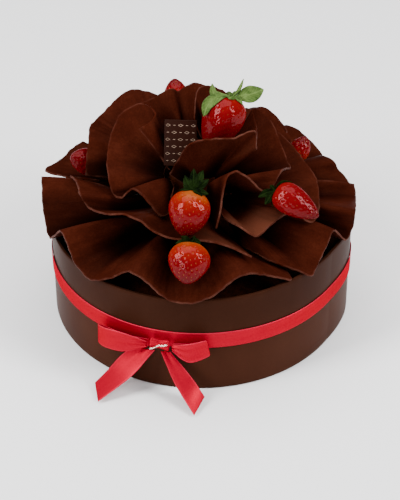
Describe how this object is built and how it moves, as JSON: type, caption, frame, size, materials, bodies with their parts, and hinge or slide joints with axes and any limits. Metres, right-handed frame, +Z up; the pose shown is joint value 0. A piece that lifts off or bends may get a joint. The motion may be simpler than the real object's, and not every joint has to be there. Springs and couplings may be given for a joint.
{
  "type": "chocolate cake",
  "caption": "Round chocolate cake in a smooth chocolate collar with a red satin ribbon and bow, topped with a dome of ruffled chocolate sheets, strawberries and a small plaque.",
  "frame": {"origin": "centre of the cake's round base, at the height of the surface it stands on", "axes": "+Z up; the bow and the strawberries in front face -Y; +X is to the right as seen from the front"},
  "size_m": [0.2094, 0.2318, 0.1677],
  "materials": {
    "cake": "matte dark chocolate cake and cream under the ruffles",
    "collar": "smooth dark chocolate with a soft satin gloss",
    "chocolate_sheet": "dusty satin dark chocolate sheet with lighter cut edges",
    "satin_ribbon": "red satin with woven edges",
    "strawberry": "ripe red strawberry with seeds under a clear glaze",
    "calyx_leaf": "fresh green leaf",
    "plaque": "dark chocolate with rows of small pale gold diamonds and dashes"
  },
  "bodies": {
    "root": {"cake": "cake", "collar": "collar", "ribbon_band": "satin_ribbon", "bow_loop_left": "satin_ribbon", "bow_loop_right": "satin_ribbon", "bow_tail_left": "satin_ribbon", "bow_tail_right": "satin_ribbon", "bow_knot": "satin_ribbon", "ruffle_low_front": "chocolate_sheet", "ruffle_low_right": "chocolate_sheet", "ruffle_low_back_right": "chocolate_sheet", "ruffle_low_back_left": "chocolate_sheet", "ruffle_low_back": "chocolate_sheet", "ruffle_mid_left": "chocolate_sheet", "ruffle_mid_right": "chocolate_sheet", "ruffle_mid_back_left": "chocolate_sheet", "ruffle_mid_back": "chocolate_sheet", "ruffle_high_left": "chocolate_sheet", "ruffle_high_front": "chocolate_sheet", "ruffle_high_back": "chocolate_sheet", "ruffle_crown_back": "chocolate_sheet", "ruffle_crown_right": "chocolate_sheet", "strawberry_top": "strawberry", "strawberry_middle": "strawberry", "strawberry_front": "strawberry", "strawberry_right": "strawberry", "strawberry_left": "strawberry", "strawberry_back": "strawberry", "strawberry_back_right": "strawberry", "calyx_top": "calyx_leaf", "calyx_middle": "calyx_leaf", "calyx_front": "calyx_leaf", "calyx_right": "calyx_leaf", "plaque": "plaque"}
  },
  "joints": []
}
